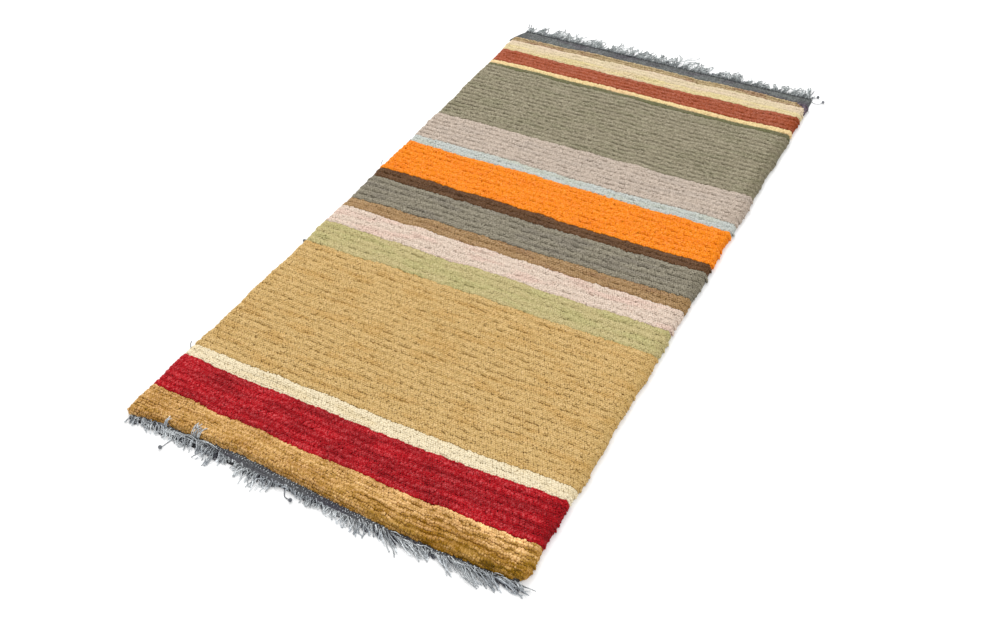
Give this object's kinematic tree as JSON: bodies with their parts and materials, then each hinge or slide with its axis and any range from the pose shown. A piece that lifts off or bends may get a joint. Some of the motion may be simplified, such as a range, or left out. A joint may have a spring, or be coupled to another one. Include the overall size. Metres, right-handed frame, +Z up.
{
  "type": "hand-knotted striped wool rug",
  "caption": "Flat rectangular wool rug with ribbed pile in uneven cross stripes, a flat-woven grey band at one end and a grey warp fringe at both ends.",
  "frame": {"origin": "on the floor under the middle of the whole rug, fringes included", "axes": "+X across the rug, +Y along it toward the flat-woven band, +Z up from the floor"},
  "size_m": [0.6944, 1.4406, 0.0151],
  "materials": {
    "wool_pile": "matte looped and clipped wool pile in dyed cross stripes",
    "cotton_warp": "matte grey cotton yarn"
  },
  "bodies": {
    "root": {"rug_cloth": "wool_pile", "near_fringe": "cotton_warp", "far_fringe": "cotton_warp"}
  },
  "joints": []
}
